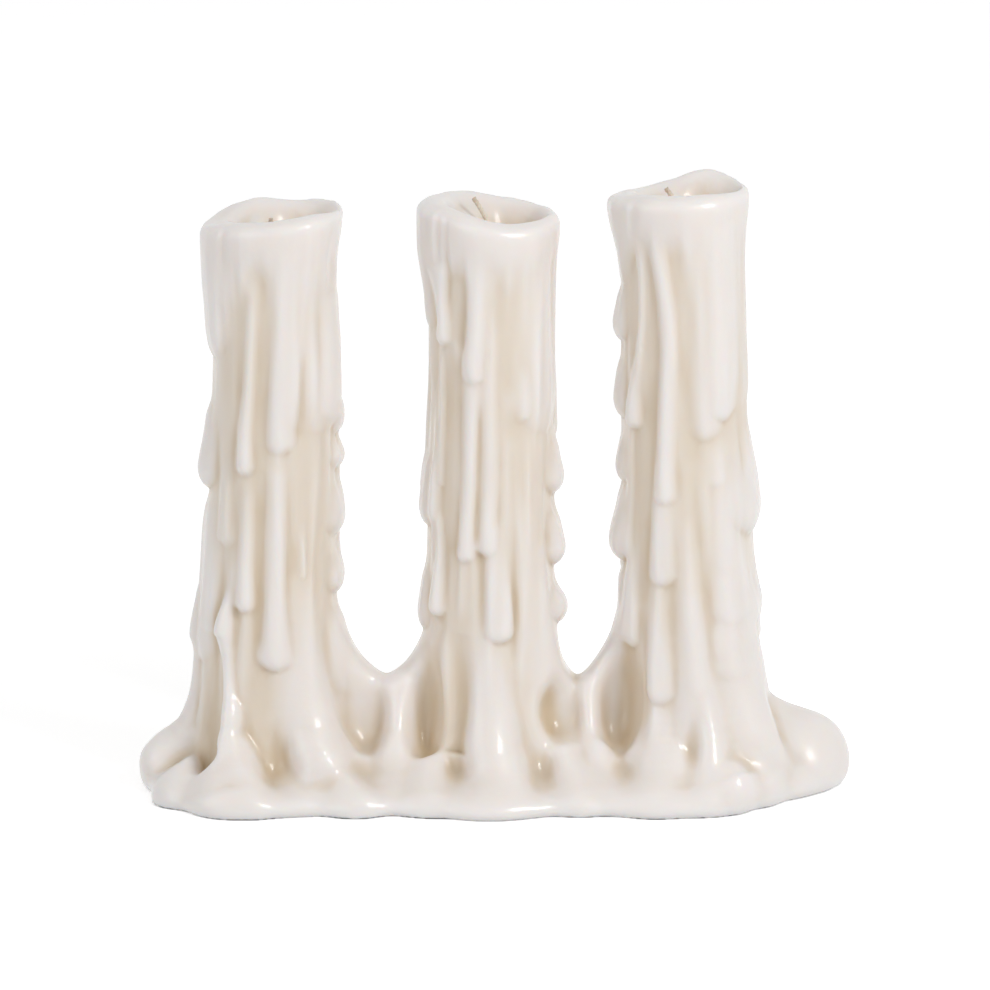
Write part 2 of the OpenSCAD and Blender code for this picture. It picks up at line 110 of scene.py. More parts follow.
# Runs of wax down each candle, from the oldest to the newest. Each is a list of the bearing,
# height, width and stand-out that it passes through, and the height of its rounded tip.
runs = {
    "left": [
        ([(-92, 184, 40, 5.2), (-90, 168, 38, 5.0), (-86, 156, 32, 4.0), (-84, 148, 24, 3.0)], 134),
        ([(40, 186, 40, 2.6), (42, 166, 36, 1.7), (46, 148, 31, 1.3), (50, 128, 26, 1.7)], 112.5),
        ([(94, 196, 44, 2.4), (92, 178, 38, 2.2), (88, 168, 26, 0.8)], 160),
        ([(72, 160, 12, 0.8), (72, 140, 13, 1.6), (70, 124, 12, 2.0)], 115),
        ([(84, 126, 10, 1.8), (84, 115, 12, 2.9)], 110.5),
        ([(84, 112, 10, 1.2), (84, 105, 12, 2.7)], 99.5),
        ([(82, 100, 12, 0.8), (82, 92, 13, 1.9), (82, 84, 14, 3.2)], 79),
        ([(82, 77, 12, 0.3), (82, 70, 13, 2.2), (82, 66, 14, 3.3)], 61),
        ([(82, 61, 12, 1.2), (82, 54, 14, 2.4), (82, 46, 18, 3.0)], 30),
        ([(-86, 124, 12, 1.1), (-88, 110, 14, 2.8), (-88, 100, 15, 4.5)], 93),
        ([(-82, 95, 16, 0.9), (-84, 80, 18, 2.2), (-84, 60, 20, 2.6)], 40),
        ([(-46, 108, 6, 0.5), (-46, 92, 6.4, 1.0), (-45, 85, 7, 1.4)], 78),
        ([(-18, 166, 5, 0.6), (-22, 148, 4.2, 1.3), (-24, 126, 4, 1.6), (-27, 112, 5.2, 2.0),
            (-27, 106, 7, 2.5)], 100.5),
        ([(8, 176, 12, 1.5), (9, 150, 8.6, 1.2), (8, 130, 8.4, 1.5), (7, 117, 9.4, 2.0)], 107.5),
        ([(-22, 101, 6.4, 0.6), (-23, 86, 6, 1.3), (-24, 72, 6, 1.8), (-23, 64, 7.2, 2.6)], 58.5),
        ([(4, 108, 7, 0.8), (4, 92, 7.4, 1.4), (4, 75, 7.2, 1.9), (4, 58, 7.8, 2.4),
            (4, 48, 9.8, 3.2)], 41),
        ([(29, 88, 2.4, 0.6), (30, 75, 3, 1.4)], 68.5),
    ],
    "middle": [
        ([(-94, 188, 36, 5.2), (-92, 168, 32, 5.0), (-88, 160, 24, 3.6), (-86, 153, 18, 2.2)], 143),
        ([(56, 184, 38, 1.9), (60, 162, 30, 1.5), (62, 142, 26, 1.4), (58, 126, 26, 1.8)], 112.5),
        ([(-82, 108, 12, 1.1), (-83, 96, 14, 2.2), (-83, 88, 15, 3.3)], 81.5),
        ([(-84, 74, 12, 0.9), (-86, 62, 14, 2.3), (-86, 56, 15, 3.0)], 49.5),
        ([(84, 114, 12, 1.5), (84, 104, 13, 2.3), (84, 97, 14, 4.2)], 91.5),
        ([(84, 91, 12, 1.5), (84, 81, 13, 2.8), (84, 76, 14, 4.5)], 69.5),
        ([(84, 68, 12, 1.5), (84, 61, 13, 3.1), (84, 58, 14, 4.6)], 51.5),
        ([(34, 96, 5, 0.4), (34, 70, 6, 0.9), (32, 46, 7, 0.7)], 36),
        ([(-54, 140, 2.2, 0.8), (-53, 122, 2.4, 1.1), (-52, 104, 2.4, 0.9)], 96),
        ([(-58, 170, 8, 1.8), (-56, 157, 5.6, 1.8), (-52, 147, 6, 2.4)], 139.5),
        ([(-14, 176, 9, 1.4), (-14, 158, 6.6, 1.7), (-15, 143, 6, 2.0), (-18, 135, 6.6, 2.5)], 129),
        ([(-2, 152, 4.6, 0.4), (-1, 132, 5, 0.9), (0, 112, 5.4, 1.2), (-1, 98, 5.2, 1.5),
            (-4, 84, 6, 2.4)], 76.5),
        ([(30, 138, 3, 0.6), (31, 126, 3.8, 1.3)], 117),
        ([(-20, 136, 6, 0.7), (-21, 120, 5.6, 1.6), (-22, 104, 5.4, 1.8), (-23, 88, 5.4, 1.9),
            (-23, 80, 6, 2.3)], 74),
        ([(-60, 92, 3, 0.6), (-52, 85, 2.6, 1.2), (-49, 75, 3, 1.7), (-51, 66, 5.2, 2.4),
            (-52, 61, 6.2, 3.0)], 56),
        ([(3, 92, 5, 0.7), (4, 78, 6, 1.6), (7, 66, 7.6, 2.5), (9, 57, 8.6, 3.3)], 49.5),
    ],
    "right": [
        ([(-96, 192, 34, 5.2), (-92, 176, 30, 4.8), (-88, 168, 20, 2.8), (-86, 162, 14, 1.5)], 156),
        ([(58, 192, 40, 2.6), (62, 166, 34, 1.6), (64, 145, 28, 1.1), (62, 130, 24, 1.2)], 119),
        ([(-86, 160, 10, 0.9), (-87, 150, 12, 2.0), (-88, 145, 13, 3.3)], 138.5),
        ([(-86, 138, 10, 0.6), (-86, 129, 12, 1.8), (-86, 122, 13, 3.2)], 115),
        ([(-84, 114, 10, 0.5), (-86, 106, 12, 1.9), (-86, 101, 13, 3.3)], 95),
        ([(-84, 98, 12, 1.4), (-86, 88, 13, 2.5), (-86, 78, 15, 5.0)], 70.5),
        ([(-84, 74, 12, 2.2), (-84, 62, 14, 2.6), (-84, 54, 15, 2.6)], 45),
        ([(76, 118, 14, 0.2), (78, 106, 18, 1.8), (78, 96, 22, 3.7), (78, 87, 22, 4.6)], 79.5),
        ([(82, 78, 12, 0.3), (82, 66, 13, 1.5), (82, 59, 15, 3.4)], 51.5),
        ([(84, 48, 12, 1.2), (84, 38, 14, 1.6)], 28),
        ([(36, 116, 12, 0.6), (32, 98, 12, 1.4), (32, 84, 12, 1.9), (38, 68, 13, 2.3)], 55),
        ([(-64, 118, 3, 0.5), (-63, 96, 3.2, 0.9), (-62, 78, 3.6, 1.3), (-61, 64, 5.4, 2.0),
            (-61, 54, 7.6, 2.9)], 45.5),
        ([(-28, 74, 6, 0.5), (-28, 58, 6.6, 1.2), (-26, 46, 8.4, 2.1), (-26, 39, 9, 2.7)], 30.5),
        ([(18, 190, 20, 2.0), (18, 164, 14, 1.4), (18, 142, 12, 1.5), (18, 124, 10.4, 2.0)], 111.5),
        ([(37, 184, 14, 1.6), (37, 160, 9, 1.4), (37, 140, 8, 1.7), (38, 126, 8.6, 2.4)], 117),
        ([(24, 114, 6, 0.6), (27, 104, 6, 1.1)], 97),
        ([(-48, 178, 4.4, 1.2), (-43, 162, 3.2, 1.4), (-43, 149, 3.2, 1.6), (-49, 136, 3.6, 1.8),
            (-54, 126, 4.6, 2.2), (-55, 119, 6.6, 3.0)], 113.5),
        ([(-24, 100, 6, 0.7), (-25, 86, 7, 1.5), (-25, 75, 8.8, 2.4)], 66.5),
        ([(-28, 184, 8, 1.4), (-23, 168, 5.8, 1.6), (-17, 153, 5.6, 1.9), (-15, 140, 5.4, 2.0),
            (-17, 126, 5.4, 2.0), (-19, 110, 5.6, 1.9), (-21, 100, 6.4, 2.3)], 92),
        ([(0, 92, 5.6, 0.5), (-1, 76, 7, 1.4), (0, 62, 8, 2.0), (4, 48, 8.6, 2.2)], 34),
        ([(31, 76, 7, 0.8), (32, 60, 8, 1.8), (33, 48, 9.6, 3.0)], 38),
        ([(60, 68, 9, 0.8), (60, 52, 11, 2.2), (61, 42, 12, 3.2)], 31),
    ],
}

# Furrows left between the runs, as bearings, heights, widths and depths
furrows = {
    "left": [
        [(-17, 170, 5, 0.4), (-13, 161, 7, 2.0), (-7, 147, 6, 1.9), (-8, 133, 4.6, 1.3),
            (-12, 115, 4.6, 1.6), (-11, 95, 3.8, 1.5), (-11, 70, 3.8, 1.6), (-10, 46, 3.4, 1.3)],
        [(-26, 162, 3, 0.4), (-30, 148, 3.4, 1.2), (-33, 135, 3.6, 1.5), (-36, 122, 3, 0.8)],
        [(-38, 118, 2.6, 0.5), (-38, 104, 3, 1.6), (-37, 84, 3, 1.2), (-36, 70, 4, 0.4)],
        [(26, 142, 4, 0.1), (27, 128, 5, 0.7), (30, 114, 7, 1.6), (30, 109, 6, 0.2)],
        [(86, 82, 12, 0.3), (86, 77, 14, 1.6), (86, 72, 12, 0.2)],
        [(23, 84, 4, 0.2), (23, 74, 4.6, 1.0), (24, 65, 5, 1.4), (24, 61, 5, 0.2)],
        [(-2, 43, 10, 0.2), (-5, 37, 14, 1.4), (-3, 26, 12, 0.6)],
    ],
    "middle": [
        [(-70, 168, 5, 0.4), (-69, 156, 6, 1.4), (-66, 142, 6, 0.9)],
        [(-34, 168, 5, 0.3), (-33, 159, 7, 2.0), (-31, 148, 6, 1.9), (-30, 137, 4.6, 0.8)],
        [(-40, 140, 8, 0.5), (-40, 124, 9.4, 1.6), (-40, 108, 9.4, 2.0), (-39, 90, 9.4, 1.8),
            (-36, 74, 9, 0.9)],
        [(12, 163, 9, 0.2), (12, 155, 9, 1.4), (14, 142, 5, 1.0), (15, 124, 5, 0.9)],
        [(-11, 126, 2.8, 0.4), (-12, 110, 3, 1.1), (-12, 94, 3.2, 1.2), (-12, 78, 3.2, 0.8)],
        [(6, 140, 2.6, 0.3), (6, 120, 2.8, 0.8), (8, 100, 2.8, 0.6)],
        [(22, 124, 6, 0.2), (23, 115, 9, 1.6), (26, 109, 7, 0.2)],
        [(23, 88, 3.6, 0.4), (23, 66, 4.4, 1.1), (22, 42, 4, 0.7)],
        [(-24, 62, 5, 0.3), (-25, 50, 6.4, 1.6), (-22, 40, 6, 2.4), (-20, 28, 6, 2.8),
            (-20, 12, 6, 2.6)],
    ],
    "right": [
        [(-56, 170, 5, 0.3), (-55, 159, 6.4, 1.6), (-55, 146, 6.4, 1.6), (-60, 132, 5, 0.9)],
        [(-35, 170, 4, 0.3), (-30, 159, 4.6, 1.8), (-30, 144, 4.6, 1.8), (-32, 130, 4.6, 1.6),
            (-36, 118, 6, 1.5), (-42, 106, 8.4, 1.8), (-42, 88, 8.4, 1.6), (-43, 72, 7, 1.4),
            (-44, 58, 6, 0.8)],
        [(-11, 177, 6, 0.4), (-9, 170, 8, 2.2), (-3, 160, 6.6, 2.1), (3, 150, 5.6, 1.8),
            (5, 138, 4.8, 1.4), (5, 122, 4.8, 1.5), (5, 111, 6.4, 2.1), (5, 103, 5, 0.3)],
        [(38, 174, 6, 0.2), (38, 162, 6, 0.5), (42, 135, 7, 0.8), (45, 120, 8, 1.4),
            (46, 114, 7, 0.2)],
        [(-14, 74, 3, 0.3), (-13, 58, 3.6, 1.2), (-9, 46, 4, 1.5), (-5, 32, 4.4, 2.0),
            (-2, 16, 4.6, 1.4)],
        [(20, 80, 3, 0.2), (21, 68, 4.6, 1.4), (21, 58, 5.4, 1.6), (20, 50, 4, 0.2)],
        [(22, 52, 5, 0.2), (25, 41, 6.4, 1.3), (28, 28, 6, 0.5)],
    ],
}

# Every run and furrow wanders smoothly between its points, and fades in over its first part
PATH_SOFT = 5.0
RUN_FADE = 9.0
RUN_HALF = 0.62
RUN_CROWN = 1.2
RUN_COVERS = 0.45
FURROW_FADE = 6.0
FURROW_WIDEN = 0.6
FURROW_FALL = 1.6

# Plain runs fill the bearings round the back
BACK_FROM = 98.0
BACK_TO = 262.0
BACK_RUNS = 15
BACK_TOPS = [176, 150, 118, 90]
BACK_LOWEST = 30
BACK_SEED = 11

# Soft upright ridges under all the runs: how many, how long and how high
FLUTES = [(24, 50.0, 0.55), (48, 34.0, 0.5), (80, 22.0, 0.3)]
FLUTE_SOFT = 5
FLUTE_SEED = 40

low_corner = np.array(GRID_LOW)
high_corner = np.array(GRID_HIGH)
counts = np.ceil((high_corner - low_corner) / CELL).astype(int) + 1
grid_x, grid_y, grid_z = (
    (low_corner[i] + CELL * np.arange(counts[i])).astype(np.float32) for i in range(3)
)
BEARING_STEP = 0.5
bearings = np.arange(0, 360, BEARING_STEP)


def eased(t):
    """0 to 1 with a soft start and end."""
    t = np.clip(t, 0, 1)
    return t * t * (3 - 2 * t)


def melt(a, b, k):
    """Joins two bodies of wax, with a fillet about k wide."""
    h = np.maximum(k - np.abs(a - b), 0) / k
    return np.minimum(a, b) - h * h * k * 0.25


def hollow(a, b, k):
    """Takes b out of a, with an edge rounded by about k."""
    return -melt(-a, b, k)


def rim_heights(knots):
    """The rim's height at every bearing, as a smooth closed curve through its knots."""
    at, z = np.array(sorted((a % 360, h) for a, h in knots)).T
    waves = np.fft.rfft(np.interp(bearings, at, z, period=360))
    waves *= np.exp(-((np.arange(len(waves)) / RIM_WAVES) ** 2))
    return np.fft.irfft(waves, len(bearings))


def soft(line, length):
    """A line of values along the height, smoothed over about this length."""
    reach = int(2 * length / CELL)
    weights = np.exp(-2 * (np.arange(-reach, reach + 1) * CELL / length) ** 2)
    return np.convolve(np.pad(line, reach, "edge"), weights / weights.sum(), "valid")


def along(stations, tip):
    """Bearing, width and stand-out at every height, faded in at the top, and where it runs."""
    at = np.array(stations, float)[::-1].T
    z = grid_z.astype(float)
    bearing, width, stand = (soft(np.interp(z, at[1], at[i]), PATH_SOFT) for i in (0, 2, 3))
    live = (z > tip) & (z < at[1][-1])
    return bearing, width, stand * eased((at[1][-1] - z) / RUN_FADE) * live


def across(middle, radius, half):
    """Distance from a run's middle, as a share of its half width, round the whole candle."""
    off = (bearings[:, None] - middle[None, :] + 180) % 360 - 180
    return np.radians(off) * radius[None, :] / np.maximum(half, 0.05)[None, :]


def back_runs(seed):
    """Plain runs round the back, of all lengths, thin above and full at the tip."""
    rng = np.random.default_rng(seed)
    rows = []
    for k in range(BACK_RUNS):
        a = BACK_FROM + (BACK_TO - BACK_FROM) * (k + rng.uniform(0.2, 0.8)) / BACK_RUNS
        top = rng.choice(BACK_TOPS)
        tip = max(top - rng.uniform(40, 90), BACK_LOWEST)
        width, stand = rng.uniform(4, 7.5), rng.uniform(1.4, 2.5)
        drift = rng.uniform(-5, 5)
        neck = top + (tip - top) * rng.uniform(0.3, 0.6)
        rows.append(([
            (a, top, width * 1.2, stand * 0.5),
            (a + drift * 0.5, neck, width * 0.8, stand * 0.75),
            (a + drift, tip + width, width * 1.15, stand),
        ], tip))
    return rows


def flutes(count, length, depth, rng):
    """Gentle upright ridges and grooves all round, that fade in and out up the column."""
    rows = int(len(grid_z) * CELL / length) + 4
    lumps = rng.normal(0, depth, (count, rows))
    lumps = np.stack([
        np.interp(bearings, np.arange(count + 1) * 360 / count, np.append(line, line[0]))
        for line in lumps.T
    ], 1)
    at = np.arange(len(grid_z)) * CELL / length
    upright = np.stack([np.interp(at, np.arange(rows), line) for line in lumps])
    return soft_rows(upright, FLUTE_SOFT)


def soft_rows(field, cells):
    """A field smoothed round the candle and up it over this many cells."""
    weights = np.hanning(2 * cells + 1)[1:-1] + 0.001
    weights /= weights.sum()
    reach = len(weights) // 2
    field = sum(w * np.roll(field, k - reach, 0) for k, w in enumerate(weights))
    padded = np.pad(field, ((0, 0), (reach, reach)), "edge")
    return sum(w * padded[:, k:k + field.shape[1]] for k, w in enumerate(weights))


def relief(name, radius):
    """How far the wax stands out from the plain column, at every bearing and height."""
    z = grid_z.astype(float)
    rng = np.random.default_rng(FLUTE_SEED + len(name))
    out = sum(flutes(count, length, depth, rng) for count, length, depth in FLUTES)
    for stations in furrows[name]:
        middle, width, depth = along(stations, stations[-1][1])
        depth = depth * eased((z - stations[-1][1]) / FURROW_FADE)
        u = across(middle, radius, width / 2 + FURROW_WIDEN)
        out -= depth[None, :] * np.exp(-FURROW_FALL * u * u)
    for stations, tip in back_runs(BACK_SEED + len(name)) + runs[name]:
        middle, width, stand = along(stations, tip)
        nose = np.clip((z - tip) / (stations[-1][2] * 0.5), 0, 1)
        rounded = np.sqrt(1 - (1 - nose) ** 2)
        u = across(middle, radius, width * RUN_HALF * rounded)
        shape = np.clip(1 - u * u, 0, 1) ** RUN_CROWN
        lifted = out * (1 - RUN_COVERS * shape) + (stand * rounded)[None, :] * shape
        out = np.where(shape > 0, np.maximum(out, lifted), out)
    return out


def column_radius(candle):
    """The plain column's radius at every height: a slight taper, and a swell at the foot."""
    rest = 1 - grid_z.astype(float) / candle["height"]
    swell = FOOT_SWELL * np.clip(rest, 0, 1) ** FOOT_SWELL_POWER
    return COLUMN_R + COLUMN_TAPER * rest + swell


wax = np.full(tuple(counts), FAR, np.float32)


def window(x0, x1, y0=-1e9, y1=1e9, z0=-1e9, z1=1e9):
    """The part of the grid between these planes, and its coordinates."""
    cut = tuple(
        slice(*np.searchsorted(line, (a, b)))
        for line, a, b in ((grid_x, x0, x1), (grid_y, y0, y1), (grid_z, z0, z1))
    )
    return (
        cut,
        grid_x[cut[0]][:, None, None],
        grid_y[cut[1]][None, :, None],
        grid_z[cut[2]][None, None, :],
    )


def smooth_noise(shape, spacing, seed, strength):
    """A gentle unevenness in three directions, with lumps about as long as the spacing."""
    rng = np.random.default_rng(seed)
    sizes = [int(np.ceil(n * CELL / s)) + 3 for n, s in zip(shape, spacing)]
    lumps = rng.normal(0, strength, sizes).astype(np.float32)
    for axis, (n, s) in enumerate(zip(shape, spacing)):
        at = np.arange(n) * CELL / s
        base = at.astype(int)
        t = (at - base)[:, None]
        knots = np.zeros((n, sizes[axis]), np.float32)
        weights = ((1 - t) ** 3 / 6, (3 * t**3 - 6 * t**2 + 4) / 6,
                   (-3 * t**3 + 3 * t**2 + 3 * t + 1) / 6, t**3 / 6)
        for k, w in enumerate(weights):
            np.add.at(knots, (np.arange(n), np.minimum(base + k, sizes[axis] - 1)), w[:, 0])
        lumps = np.moveaxis(np.tensordot(knots, lumps, axes=(1, axis)), 0, axis)
    return lumps


for name, candle in candles.items():
    foot, lean, height = candle["foot"], candle["lean"], candle["height"]
    cut, x, y, z = window(foot - CANDLE_REACH, foot + CANDLE_REACH)
    dx = x - (foot + lean * z / height)
    r = np.sqrt(dx * dx + y * y)
    turn = np.degrees(np.arctan2(dx, -y + 0 * dx)) % 360

    radius = column_radius(candle)
    rim = rim_heights(candle["rim"])
    below = rim[:, None] - grid_z[None, :]
    collar = COLLAR_OUT * eased((COLLAR_END - below) / (COLLAR_END - COLLAR_FULL))
    out = -melt(-relief(name, radius), -collar, COLLAR_MELT)
    surface = (radius[None, :] + out).astype(np.float32)

    place = turn / BEARING_STEP
    low = place.astype(np.int32) % len(bearings)
    high = (low + 1) % len(bearings)
    part = place - np.floor(place)
    k = np.broadcast_to(np.arange(len(grid_z)), low.shape)
    outer = surface[low, k] * (1 - part) + surface[high, k] * part
    crest = (rim[low] * (1 - part) + rim[high] * part).astype(np.float32)
    top = height + (crest - height) * np.clip(r / COLUMN_R, 0, 1) + LIP_RISE
    top = top - DISH * eased((DISH_R - r) / DISH_EDGE)

    side = (r - outer) * SIDE_STEEPNESS
    body = -melt(-side, -(z - top), LIP_ROUND)
    cup_x, cup_y = candle["cup"]
    cup_r = np.sqrt((dx - cup_x) ** 2 + (y - cup_y) ** 2)
    floor_z = height - CUP_DEPTH
    risen = np.clip((z - floor_z) / CUP_DEPTH, 0, 1.4)
    mouth = CUP_FLOOR_R + (CUP_MOUTH_R - CUP_FLOOR_R) * risen**CUP_FLARE
    cup = -melt(-(cup_r - mouth), -(floor_z - z), CUP_FLOOR_ROUND)
    body = hollow(body, cup, CUP_ROUND)
    wax[cut] = melt(wax[cut], body.astype(np.float32), CANDLE_MELT)

# ---------------------------------------------------------------------------
# The thick runs at the feet, the pool and the webs
# Wax that ran off the candles, set in ropes down to the table, spread into one pool, and
# closed the gaps between the feet with two thick webs.
# ---------------------------------------------------------------------------
ROPE_SMOOTHINGS = 4


def pour(stops, k):
    """A rope of wax along a smooth path near points of x, y, z and radius, melted in."""
    at = np.linspace(0, len(stops) - 1, 4 * len(stops) - 3)
    path = np.stack([np.interp(at, range(len(stops)), line) for line in np.array(stops).T], 1)
    for _ in range(ROPE_SMOOTHINGS):
        path[1:-1] = (path[:-2] + 2 * path[1:-1] + path[2:]) / 4
    big = path[:, 3].max() + k + 2
    (x0, y0, z0), (x1, y1, z1) = path[:, :3].min(0) - big, path[:, :3].max(0) + big
    cut, x, y, z = window(x0, x1, y0, y1, z0, z1)
    rope = np.full(wax[cut].shape, FAR, np.float32)
    for (ax, ay, az, ar), (bx, by, bz, br) in zip(path, path[1:]):
        ux, uy, uz = bx - ax, by - ay, bz - az
        on_it = (x - ax) * ux + (y - ay) * uy + (z - az) * uz
        t = np.clip(on_it / (ux**2 + uy**2 + uz**2), 0, 1)
        d = np.sqrt((x - ax - t * ux) ** 2 + (y - ay - t * uy) ** 2 + (z - az - t * uz) ** 2)
        rope = np.minimum(rope, d - ar - t * (br - ar))
    wax[cut] = melt(wax[cut], rope.astype(np.float32), k)


def on_candle(name, stops):
    """Points given as bearing, distance from the candle's axis, height and radius."""
    c = candles[name]
    return [
        (c["foot"] + c["lean"] * z / c["height"] + r * sin(radians(a)), -r * cos(radians(a)), z, w)
        for a, r, z, w in stops
    ]


# Ropes down the candles' feet: the candle, how softly each melts in, and its points
ropes = [
    ("left", 2.0, [(-88, 20.5, 60, 1.8), (-88, 21.6, 52, 2.8), (-88, 21.8, 47.5, 3.0)]),
    ("left", 2.5, [(-88, 20.8, 44, 2.4), (-88, 21.2, 34, 2.6), (-87, 21.8, 26, 3.2),
        (-86, 26, 8, 8)]),
    ("left", 1.6, [(-40, 19, 63, 1.2), (-42, 20.4, 56, 2.8), (-43, 20.8, 51, 3.5),
        (-42, 20.4, 47, 2.4)]),
    ("left", 2.0, [(-41, 20.2, 46, 2.2), (-38, 21.0, 38, 2.2), (-35, 22.2, 31, 3.0),
        (-33, 22.8, 27, 3.8)]),
    ("left", 3.0, [(-33, 22.4, 28, 3.4), (-31, 24.6, 19, 5.2), (-28, 27.4, 10, 8),
        (-22, 30, 3, 11.5)]),
    ("left", 5.0, [(26, 12.6, 66, 4), (30, 13.4, 46, 7), (35, 16, 30, 9), (38, 21, 15, 10.5),
        (40, 27, 4, 11)]),
    ("middle", 3.0, [(-6, 12.8, 68, 4), (-5, 13.4, 52, 6.2), (-1, 14.2, 40, 7.6), (1, 16, 28, 8.6),
        (3, 20.5, 14, 9.6), (4, 26.5, 3, 11)]),
    ("middle", 2.0, [(-42, 17.6, 50, 1.6), (-41, 18.4, 42, 2.6), (-39, 19, 32, 3.4),
        (-38, 19, 25, 3.6), (-38, 18.8, 19, 2.6)]),
    ("middle", 5.0, [(54, 13.4, 74, 4), (58, 14.8, 46, 6.6), (64, 18.4, 24, 8.6), (70, 24, 7, 10)]),
    ("right", 4.0, [(2, 15.4, 62, 3), (4, 16.4, 46, 4.8), (7, 18.4, 30, 6.6), (10, 22, 15, 8.4),
        (12, 27, 4, 9.6)]),
    ("right", 5.0, [(44, 12.6, 88, 4.2), (47, 13.6, 58, 6.4), (50, 16.6, 34, 8.6),
        (50, 23, 14, 10.6)]),
    ("right", 3.5, [(90, 14.4, 66, 4.2), (90, 15.4, 48, 5), (91, 16.4, 35, 5.8), (92, 17, 26, 7)]),
    ("right", 3.0, [(-24, 18, 30, 3), (-24, 22, 18, 5), (-20, 27, 6, 8)]),
    ("left", 3.0, [(150, 17, 60, 2.5), (152, 20, 40, 4), (154, 24, 20, 6), (156, 29, 5, 8)]),
    ("left", 3.0, [(-140, 17, 70, 2), (-142, 20, 48, 3.6), (-144, 23, 24, 5.5), (-146, 28, 6, 8)]),
    ("middle", 3.0, [(172, 17, 66, 2.2), (170, 20, 44, 3.8), (168, 24, 22, 6), (166, 30, 5, 8)]),
    ("middle", 3.0, [(-150, 17, 50, 2.2), (-150, 20, 34, 3.8), (-148, 24, 18, 6),
        (-146, 28, 5, 7)]),
    ("right", 3.0, [(160, 17, 74, 2), (158, 20, 50, 3.8), (156, 24, 26, 6), (152, 29, 6, 8)]),
    ("right", 3.0, [(-160, 17, 56, 2.4), (-162, 20, 38, 4), (-164, 24, 18, 6),
        (-166, 30, 5, 8)]),
]

# Webs between two candles: the place and height of the lowest point, and the rise beside it
webs = [
    ("left", "middle", -30.5, 35.0, 17.0),
    ("middle", "right", 27.0, 34.6, 20.0),
]
WEB_W = 7.0
WEB_FLARE = 0.45
WEB_CURVE = 1.5
WEB_REACH = 26
WEB_ABOVE = 40
CREST_STEEPNESS = 0.8
CREST_ROUND = 7.0
WEB_MELT = 5.0
for a, b, low_x, low_z, rise in webs:
    xa, xb = candles[a]["foot"], candles[b]["foot"]
    cut, x, y, z = window(xa, xb, -WEB_REACH, WEB_REACH, z1=low_z + WEB_ABOVE)
    t = (x - low_x) / ((xb - xa) / 2 - COLUMN_R)
    crest = low_z + rise * np.abs(t) ** WEB_CURVE
    thick = WEB_W * (1 + WEB_FLARE - WEB_FLARE * np.clip(z / low_z, 0, 1))
    faces = thick - np.abs(y) + 0 * t
    sheet = -melt(faces, -(z - crest) * CREST_STEEPNESS, CREST_ROUND)
    wax[cut] = melt(wax[cut], sheet.astype(np.float32), WEB_MELT)

for name, k, stops in ropes:
    pour(on_candle(name, stops), k)

# Ropes down the front and back of the webs
pour([(-28.4, -5, 31, 3.4), (-28.2, -7.6, 25, 4.4), (-28.2, -9.6, 16, 5), (-28.5, -14, 3, 8)], 3.5)
pour([(-24.2, -5, 32, 3.4), (-24.2, -7.6, 25, 4.4), (-24.0, -9.6, 15, 5), (-24, -14, 3, 8)], 3.5)
pour([(31, -4, 31, 3.4), (31.2, -7.6, 25, 4.2), (31.5, -9.8, 15, 4.6), (31.8, -14, 3, 8)], 3.5)
pour([(-31, 4, 29, 3), (-31, 9, 24, 3.8), (-31, 13, 12, 5), (-31, 17, 3, 7)], 3)
pour([(27, 4, 28, 3), (27, 9, 22, 3.8), (27, 13, 12, 5), (27, 18, 3, 7)], 3)

# Lobes of the pool: x, y and radius at each end, and the thickness
lobes = [
    (-67, -3, 33, 0, -3, 34.5, 6.5),
    (0, -3, 34.5, 54, -3, 34.5, 6.5),
    (-66, 0, 24, -69, -10, 30, 7.0),
    (-66, 0, 24, -74.5, 3, 30, 7.5),
    (-66, 0, 24, -56, 14, 24, 6.0),
    (0, 0, 24, 1, -20.5, 22, 6.0),
    (0, 0, 24, 8, 18, 20, 6.0),
    (61.5, 0, 24, 54, -9, 29, 7.0),
    (54, -9, 29, 76, 1, 25, 7.5),
    (61.5, 0, 24, 85.5, 4, 21.5, 12.5),
    (61.5, 0, 24, 63.5, 15, 23, 6.5),
]
POOL_TOP = 34
EDGE = 7.0
EDGE_SHARE = 0.7
EDGE_STEEPNESS = 0.8
BELLY = 0.35
UNDERCUT = 1.4
# The pool rises from its edge towards the candles, and lies in waves
POOL_RISE = 9.0
RISE_FROM = 2
RISE_OVER = 24
WAVE_SPACING = (10.0, 8.0, 10.0)
WAVE_SEED = 12
WAVE_HEIGHT = 2.9
WAVES_OVER = 10
LOBE_MELT = 5.0
POOL_MELT = 6.0
cut, x, y, z = window(-1e9, 1e9, z1=POOL_TOP)
pool = np.full(wax[cut].shape, FAR, np.float32)
waves = smooth_noise((x.size, y.size, 1), WAVE_SPACING, WAVE_SEED, WAVE_HEIGHT)
for ax, ay, ar, bx, by, br, h in lobes:
    ux, uy = bx - ax, by - ay
    t = np.clip(((x - ax) * ux + (y - ay) * uy) / (ux * ux + uy * uy), 0, 1)
    d = np.sqrt((x - ax - t * ux) ** 2 + (y - ay - t * uy) ** 2) - ar - t * (br - ar)
    edge = max(EDGE, EDGE_SHARE * h)
    inward = -d - RISE_FROM
    h = h + POOL_RISE * eased(inward / RISE_OVER) + waves * eased(inward / WAVES_OVER)
    wide = np.clip((d + edge) / edge, 0, None)
    belly = BELLY * h
    high = np.clip((z - belly) / (h - belly), 0, None)
    slab = (np.sqrt(wide**2 + high**2) - 1) * EDGE * EDGE_STEEPNESS
    slab = slab + UNDERCUT * np.clip((belly - z) / belly, 0, 1) ** 2
    pool = melt(pool, slab.astype(np.float32), LOBE_MELT)
wax[cut] = melt(wax[cut], pool, POOL_MELT)

